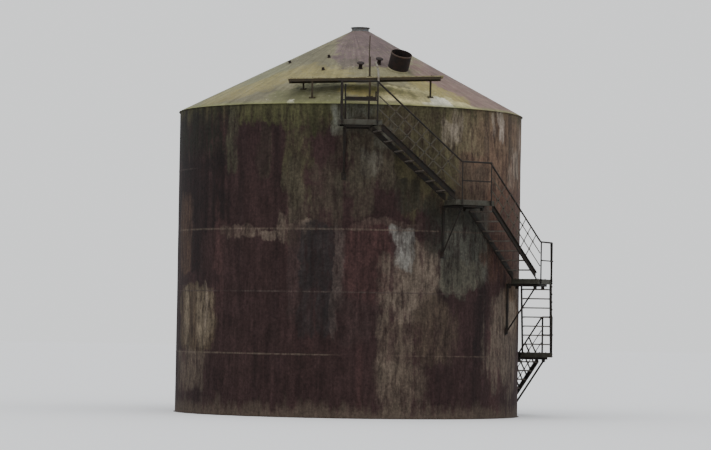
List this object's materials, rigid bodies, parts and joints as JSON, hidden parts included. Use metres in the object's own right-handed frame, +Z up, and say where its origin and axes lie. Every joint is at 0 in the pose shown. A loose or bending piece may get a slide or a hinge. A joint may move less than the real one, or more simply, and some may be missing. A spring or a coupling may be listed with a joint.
{
  "type": "vertical storage tank",
  "caption": "Vertical cylindrical storage tank of welded steel courses with a cone roof, a roof walkway, an open roof manhole and a landing stair round the shell.",
  "frame": {"origin": "centre of the bottom plate's underside, on the ground", "axes": "+Z up along the tank's axis, -Y towards the front where the top landing and the roof walkway are, +X to the right, where the stair goes down"},
  "size_m": [9.4869, 9.5244, 9.6703],
  "materials": {
    "shell": "weathered, rust through old paint, matt",
    "bottom": "rusted, matt",
    "roof": "weathered grey paint with lichen and rust, matt",
    "crown": "weathered galvanised steel",
    "neck": "rusted dark, matt",
    "stair": "rusted dark paint, matt",
    "rail": "rusted dark paint, matt",
    "walkway": "rusted dark paint, matt",
    "bright": "dull bare steel pipe"
  },
  "bodies": {
    "root": {"bottom_plate": "bottom", "shell_course_1": "shell", "shell_course_2": "shell", "shell_course_3": "shell", "shell_course_4": "shell", "shell_course_5": "shell", "eave_angle": "shell", "roof_sheet_1": "roof", "roof_sheet_2": "roof", "roof_sheet_3": "roof", "roof_sheet_4": "roof", "roof_sheet_5": "roof", "roof_sheet_6": "roof", "roof_sheet_7": "roof", "roof_sheet_8": "roof", "crown_cap": "crown", "manhole_neck": "neck", "roof_nozzle_1": "neck", "roof_nozzle_2": "neck", "walkway_deck": "walkway", "walkway_frame": "walkway", "walkway_post": "walkway", "walkway_stub": "bright", "landing_end_guard": "rail", "roof_step": "rail", "landing_1": "stair", "landing_bracket_1": "stair", "landing_guard_1": "rail", "flight_1": "stair", "flight_guard_1": "rail", "landing_2": "stair", "landing_bracket_2": "stair", "landing_guard_2": "rail", "flight_2": "stair", "flight_guard_2": "rail", "landing_3": "stair", "landing_bracket_3": "stair", "landing_guard_3": "rail", "flight_3": "stair", "flight_guard_3": "rail", "landing_4": "stair", "landing_bracket_4": "stair", "landing_guard_4": "rail", "flight_4": "stair", "flight_guard_4": "rail"}
  },
  "joints": []
}
